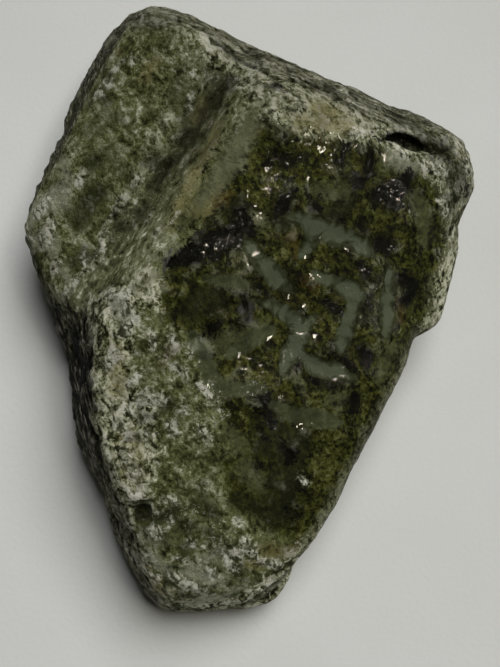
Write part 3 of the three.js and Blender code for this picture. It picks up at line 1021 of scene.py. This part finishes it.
# %% Draw the pale broken fibres
fibre_bend = add_node(
    tree,
    "ShaderNodeTexNoise",
    [("Vector", crooked.outputs[0]), ("Scale", 0.5), ("Detail", 2), ("Distortion", 1.2)],
)
off_line = add_node(
    tree, "ShaderNodeMath", [(0, fibre_bend.outputs["Fac"]), (1, 0.5), (2, 0.012)], operation="COMPARE"
)
fibrous = stain("fibrous", 8.0, 1.0)
fibres = add_node(tree, "ShaderNodeMath", [(0, off_line.outputs[0]), (1, fibrous)], operation="MULTIPLY")
colour = cover(colour, pale_crumbs_and_highlights.outputs["Color"], fibres.outputs[0], 0.75)
print("nodes with the fibres:", len(tree.nodes))

# %% Paint shade into the creases and hollows, bleach the worn edges, and paint highlights on the lips
hollow_mm = add_node(tree, "ShaderNodeAttribute", attribute_name="hollow").outputs["Fac"]
hollows = add_node(
    tree,
    "ShaderNodeMapRange",
    [("Value", hollow_mm), ("From Min", 0.02), ("From Max", 0.35), ("To Max", 0.75)],
)
edges = add_node(
    tree,
    "ShaderNodeMapRange",
    [("Value", hollow_mm), ("From Min", -0.08), ("From Max", -0.5), ("To Max", 0.4)],
)
# Creases and hollows are darkened as painted shade, and the deeper a hollow is, the darker it gets.
colour = cover(colour, paints["painted_shade"], stain("crease", 2.0, 0.4), 0.8)
colour = cover(colour, paints["painted_shade"], hollows.outputs["Result"])
colour = cover(colour, pale_crumbs_and_highlights.outputs["Color"], edges.outputs["Result"])
# The lips get pale crumbs and a painted highlight.
colour = cover(colour, pale_crumbs_and_highlights.outputs["Color"], stain("lip", 4.0, 0.3), 0.7)
colour = cover(colour, scraped.outputs["Color"], stain("scoop", 1.8, 0.15), 0.94)
tree.links.new(colour, shader.inputs["Base Color"])
print("nodes with all colours:", len(tree.nodes))

# %% [markdown]
# ## Water on the stone
# The crust is nearly dry and matt, and the middle is wet. A thin even film of water hardly shows under this
# dark ceiling. Where it lies in ripples it is given in full, and its waves break the glint into sparks.

# %% Make it wet
wet = stain("wet_face", 8.0, 1.5)
rippled = stain("rippled", 5.0, 1.0)
gloss = add_node(tree, "ShaderNodeMapRange", [("Value", wet), ("To Min", 0.65), ("To Max", 0.45)])
tree.links.new(gloss.outputs["Result"], shader.inputs["Roughness"])
thin_film = add_node(tree, "ShaderNodeMapRange", [("Value", wet), ("To Min", 0.02), ("To Max", 0.12)])
film = add_node(
    tree,
    "ShaderNodeMath",
    [(0, rippled), (1, 0.88), (2, thin_film.outputs["Result"])],
    operation="MULTIPLY_ADD",
)
tree.links.new(film.outputs[0], shader.inputs["Coat Weight"])
print("nodes with the film:", len(tree.nodes))

# %% Raise the grains and the waves
grit_height = add_node(tree, "ShaderNodeMapRange", [("Value", wet), ("To Min", 0.8), ("To Max", 0.25)])
grain_height = add_node(
    tree,
    "ShaderNodeMath",
    [(0, grains.outputs["Fac"]), (1, grit_height.outputs["Result"])],
    operation="MULTIPLY",
)
rock_bump = add_node(
    tree, "ShaderNodeBump", [("Strength", 1.0), ("Distance", 0.001), ("Height", grain_height.outputs[0])]
)
# The water lies in small waves about 1 mm long, steep in the ripples and the black hollows, flat elsewhere.
waves = add_node(
    tree, "ShaderNodeTexNoise", [("Vector", mm), ("Scale", 1.0), ("Detail", 1), ("Roughness", 0.45)]
)
broken = add_node(tree, "ShaderNodeMapRange", [("Value", rippled), ("To Min", 0.05), ("To Max", 0.5)])
steeper = add_node(
    tree,
    "ShaderNodeMath",
    [(0, stain("black", 9.0, 1.0)), (1, 0.2), (2, broken.outputs["Result"])],
    operation="MULTIPLY_ADD",
)
film_height = add_node(
    tree, "ShaderNodeMath", [(0, waves.outputs["Fac"]), (1, steeper.outputs[0])], operation="MULTIPLY"
)
film_bump = add_node(
    tree, "ShaderNodeBump", [("Strength", 1.0), ("Distance", 0.001), ("Height", film_height.outputs[0])]
)
tree.links.new(rock_bump.outputs["Normal"], shader.inputs["Normal"])
tree.links.new(film_bump.outputs["Normal"], shader.inputs["Coat Normal"])
print("nodes in the finish:", len(tree.nodes))

# %% [markdown]
# ## Put the stone in its place
# The dressed stone stands for the imported one and moves with the only body.

# %% Finish the stone
stone.data.materials.append(jadeite)
work_on(stone)
bpy.ops.object.shade_smooth()
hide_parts("jade_boulder")
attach(stone, "root")
bpy.context.view_layer.update()
print("triangles:", sum(len(face.vertices) - 2 for face in stone.data.polygons))
